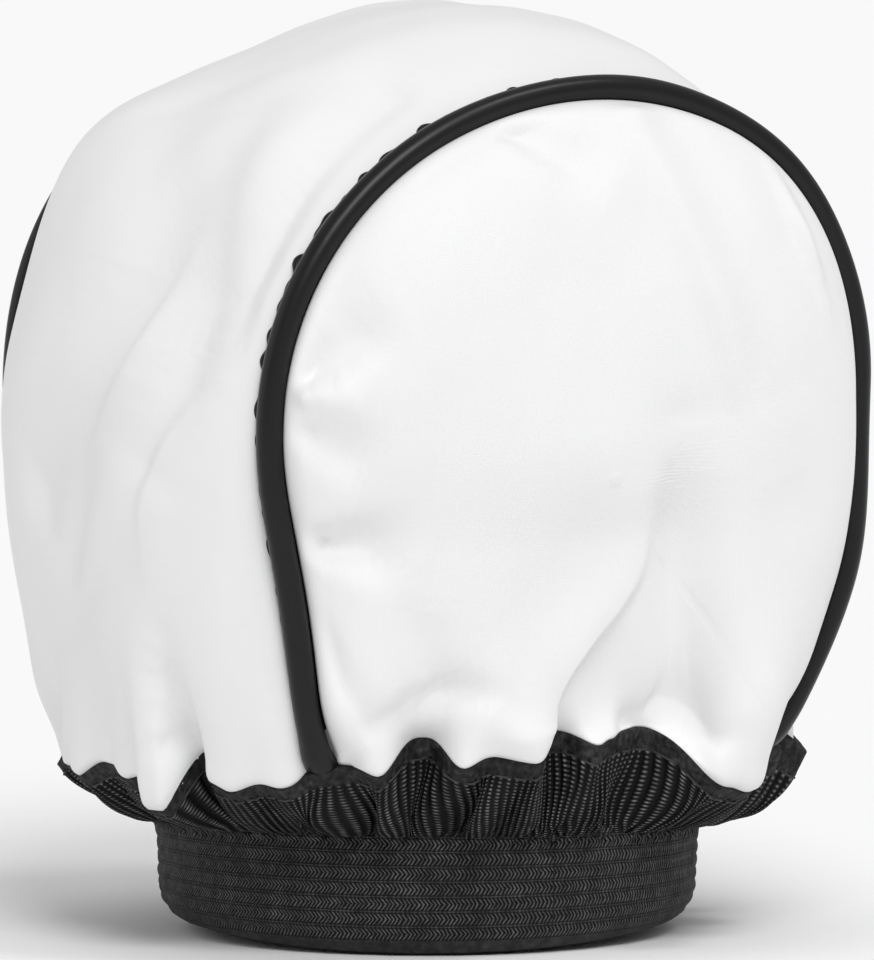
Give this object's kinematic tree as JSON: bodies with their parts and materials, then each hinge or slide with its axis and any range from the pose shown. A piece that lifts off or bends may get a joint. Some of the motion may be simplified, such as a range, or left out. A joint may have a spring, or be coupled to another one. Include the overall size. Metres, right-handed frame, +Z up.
{
  "type": "cloth flash diffuser",
  "caption": "Soft white cloth dome held open by black piping hoops and gathered into a wide black elastic band that grips a camera flash head to soften its light.",
  "frame": {"origin": "centre of the elastic band's lower rim, on the surface the diffuser stands on", "axes": "+Z up through the dome's top, X across the two hoops, Y along the crown strip"},
  "size_m": [0.095, 0.1042, 0.1191],
  "materials": {
    "white_nylon": "matt, fine plain weave, translucent",
    "black_elastic": "ribbed knit, slight sheen",
    "black_vinyl": "satin",
    "filler_cord": "matt",
    "black_thread": "twisted thread",
    "white_thread": "twisted thread"
  },
  "bodies": {
    "band": {"elastic_band": "black_elastic", "gather_seam_thread": "black_thread", "band_join_thread": "black_thread", "crown_strip": "white_nylon"},
    "hoop_right": {"piping_right": "black_vinyl", "piping_core_right": "filler_cord", "side_panel_right": "white_nylon", "piping_seam_thread_right": "white_thread"},
    "hoop_left": {"piping_left": "black_vinyl", "piping_core_left": "filler_cord", "side_panel_left": "white_nylon", "piping_seam_thread_left": "white_thread"}
  },
  "joints": [
    {"name": "hoop_right_fold", "type": "hinge", "parent": "band", "child": "hoop_right", "pos_m": [0.0345, 0, 0.0245], "axis": [0, -1, 0], "range_deg": [0, 15], "stiffness_Nm_per_rad": 0.05, "springref_deg": -8.59, "deforming": ["crown_strip"]},
    {"name": "hoop_left_fold", "type": "hinge", "parent": "band", "child": "hoop_left", "pos_m": [-0.0345, 0, 0.0245], "axis": [0, 1, 0], "range_deg": [0, 15], "stiffness_Nm_per_rad": 0.05, "springref_deg": -8.59, "deforming": ["crown_strip"]}
  ]
}
